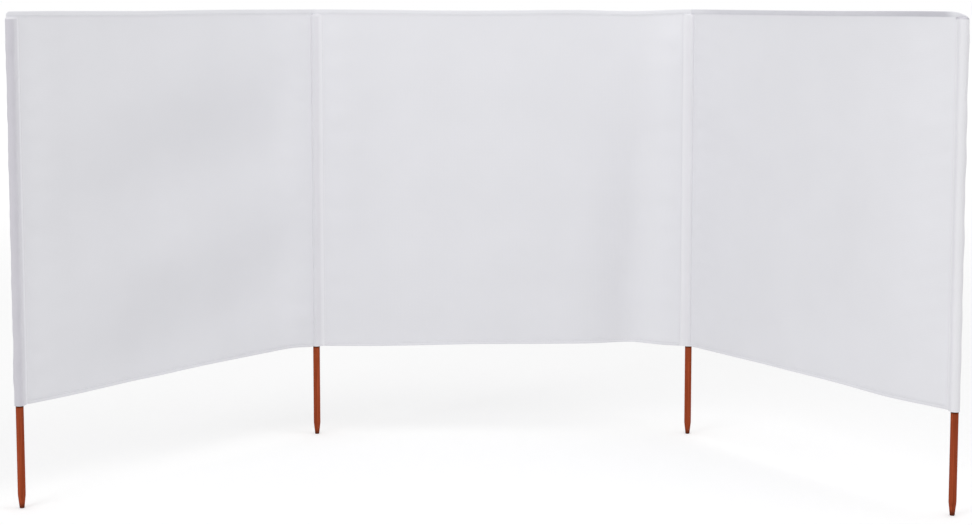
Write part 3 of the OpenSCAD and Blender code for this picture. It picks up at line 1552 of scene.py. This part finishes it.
# The drapes' shade knots paint the panels lighter near their poles and the right bay's top hem darker.
LEFT_DRAPE = Drape(
    swells=(
        Swell(s=560, z=150, height=-13, across=130, along=620, slant=-13),
        Swell(s=560, z=410, height=15, across=130, along=620, slant=-13),
        Swell(s=560, z=690, height=-15, across=140, along=620, slant=-13),
        Swell(s=560, z=970, height=12, across=140, along=620, slant=-13),
        Swell(s=480, z=600, height=-18, across=900, along=550),
    ),
    top_line=((0, 0), (0.3, 0.6), (0.6, -1.4), (0.9, 0.4), (1, 0)),
    bottom_line=((0, 0), (0.1, 9), (0.36, 7.5), (0.6, 2.5), (0.86, -2), (1, 0)),
    panel_painted_shade=((0.08, 0.3), (0.22, 0.8), (0.4, 1), (0.85, 1), (0.95, 0.6)),
    corner=Corner(start=5.5 * MM, radius=10.0 * MM),
    seed=21,
)
MIDDLE_DRAPE = Drape(
    swells=(
        Swell(s=560, z=520, height=13, across=420, along=520),
        Swell(s=1120, z=120, height=-36, across=95, along=620, slant=88),
    ),
    top_line=((0, 0), (0.42, -4.3), (0.68, -1.8), (0.845, -5.7), (1, 0)),
    bottom_line=((0, 0), (0.15, 0), (0.45, 7), (0.845, 9), (1, 0)),
    panel_painted_shade=((0.04, 0.6), (0.13, 1), (0.83, 1), (0.95, 0.1), (1, 0)),
    seed=34,
)
RIGHT_DRAPE = Drape(
    swells=(
        Swell(s=520, z=560, height=12, across=520, along=420),
        Swell(s=900, z=240, height=-7, across=160, along=330, slant=25),
    ),
    top_line=((0, 0), (0.5, -1.0), (0.9, 0.6), (1, 0)),
    bottom_line=((0, 0), (0.25, 2), (0.55, 0), (0.78, -6), (1, 0)),
    panel_painted_shade=((0, 0.8), (0.3, 1), (0.6, 1), (0.75, 0.7), (0.9, 0.3), (1, 0.2)),
    curl=((0, 0), (0.12, 5), (0.6, 7), (0.9, 8), (1, 3)),
    hem_painted_shade=((0, 0.2), (0.15, 0.5), (0.6, 0.6), (0.94, 1.0), (0.975, 0)),
    corner=Corner(start=-49.0 * MM, radius=150.0 * MM),
    seed=55,
)

# Each cloth is mixed between a lighter and a darker colour by its share of painted shade, which paints light
# and shade on it.
PANEL_CLOTH = ClothFinish("woven polyester panel", "#EBEBEF", "#E6E6EA")
SLEEVE_CLOTH = ClothFinish("woven polyester sleeve", "#F4F4F7", "#CDCBD2")
HEM_CLOTH = ClothFinish("woven polyester hem", "#E8E8EC", "#CECDD4")


@dataclass
class Windbreak:
    """The whole windbreak: poles, and the cloth sewn round them."""

    sizes: Sizes
    wall: float = 0.9 * MM
    hem_past: float = 1.05 * MM
    seam_tuck: float = 4.0 * MM
    hem_clear: float = 0.3 * MM
    hem_over: float = 15.3 * MM

    def build(self) -> None:
        """Builds every piece, dresses it and sets it on its body."""
        sizes = self.sizes
        names = ("left_end", "left_inner", "right_inner", "right_end")
        end_l, inner_l, inner_r, end_r = (pole_axis(f"{name}_pole") for name in names)
        left = Bay("left", "left_bay", names[:2], inner_l, end_l, LEFT_DRAPE, sizes)
        middle = Bay("middle", "middle_bay", names[1:3], inner_l, inner_r, MIDDLE_DRAPE, sizes)
        right = Bay("right", "right_bay", names[2:], inner_r, end_r, RIGHT_DRAPE, sizes)
        bays = (left, middle, right)
        # Each sleeve's painted shade, from its tail side to its far side: darkest on the left end, where the
        # pole's shadow falls through the cloth; the right end's top is painted dark for the shadow under its
        # hem.
        sleeves = [
            Sleeve("left_end", left, end_l, -left.along, 3, (0.58, 1.0)),
            Sleeve("left_inner", middle, inner_l, middle.along, 5, (0.45, 0.45)),
            Sleeve("right_inner", middle, inner_r, -middle.along, 8, (0.32, 0.32)),
            Sleeve("right_end", right, end_r, -right.along, 13, (0.4, 0.2), crown_painted_shade=1.0),
        ]
        stitches = {bay.body: Stitches(f"{bay.body}_stitches") for bay in bays}
        self.build_poles(sleeves)
        self.build_sleeves(sleeves, stitches)
        panel_cloth = PANEL_CLOTH.material()
        hem_cloth = HEM_CLOTH.material()
        for bay in bays:
            self.build_bay(bay, panel_cloth, hem_cloth, stitches[bay.body])
        thread = ThreadFinish().material()
        for body, seams in stitches.items():
            self.mount(seams.build(thread), body, "panel_cloth")

    def build_poles(self, sleeves: list[Sleeve]) -> None:
        """Builds the pole in each sleeve.

        Args:
            sleeves: the sleeves
        """
        wood = WoodFinish(self.sizes.bottom / MM).material()
        nodes = [f"{sleeve.name}_pole" for sleeve in sleeves]
        poles = Poles(self.sizes).build(wood, nodes)
        for sleeve, node, obj in zip(sleeves, nodes, poles):
            self.mount(obj, sleeve.bay.body, "pole_wood", node)

    def build_sleeves(self, sleeves: list[Sleeve], stitches: dict[str, Stitches]) -> None:
        """Builds the sleeves.

        Args:
            sleeves: the sleeves
            stitches: stitches by body, which take the sleeves' lines
        """
        sleeve_cloth = SLEEVE_CLOTH.material()
        for sleeve in sleeves:
            obj = sleeve.build(sleeve_cloth)
            node = f"{sleeve.name}_sleeve"
            self.mount(obj, sleeve.bay.body, "sleeve_cloth", node, f"{node}_top")
            x, y, _ = sleeve.section()
            stitches[sleeve.bay.body].lines += sleeve.seam_lines()

    def build_bay(self, bay: Bay, panel_cloth: Material, hem_cloth: Material, seams: Stitches) -> None:
        """Builds one bay's panel and hems.

        Args:
            bay: the bay
            panel_cloth: the panel's material
            hem_cloth: the hems' material
            seams: stitches that take the hems' lines
        """
        sizes = self.sizes
        tucked = sizes.seam_end - self.seam_tuck
        inner = bay.name == "middle"
        start = tucked if inner else sizes.sleeve_r - self.wall
        end = bay.length - tucked
        obj = Panel(bay, start, end, follows_crown=not inner).build(panel_cloth)
        self.mount(obj, bay.body, "panel_cloth", f"{bay.name}_panel")
        top_end = bay.length + (self.hem_past if inner else self.hem_over)
        low_start = sizes.seam_end + self.hem_clear if inner else start
        hems = [
            Hem(bay, Edge.TOP, -self.hem_past, top_end, bay.drape.corner, bay.drape.hem_painted_shade),
            Hem(bay, Edge.BOTTOM, low_start, bay.length - sizes.seam_end - self.hem_clear),
        ]
        for hem in hems:
            piece = hem.build(hem_cloth)
            self.mount(piece, bay.body, "hem_cloth", f"{bay.name}_{hem.edge.value}_hem")
            n, depth = hem.profile()
            seams.lines += hem.seam_lines()

    def mount(self, obj: Object, body: str, slot: str, *nodes: str) -> None:
        """Sets a piece on its body.

        Args:
            obj: the piece
            body: the body that it moves with
            slot: not used
            nodes: the CAD nodes that it stands for
        """
        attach(obj, body)
        if nodes:
            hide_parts(*nodes)
        LOG.info("%s rides on %s: %d faces", obj.name, body, len(obj.data.polygons))


def main() -> None:
    """Builds the studio and the windbreak."""
    logging.basicConfig(level=logging.INFO, format="%(name)s: %(message)s")
    Studio().build()
    Windbreak(Sizes.from_frame()).build()


if __name__ == "__main__":
    main()
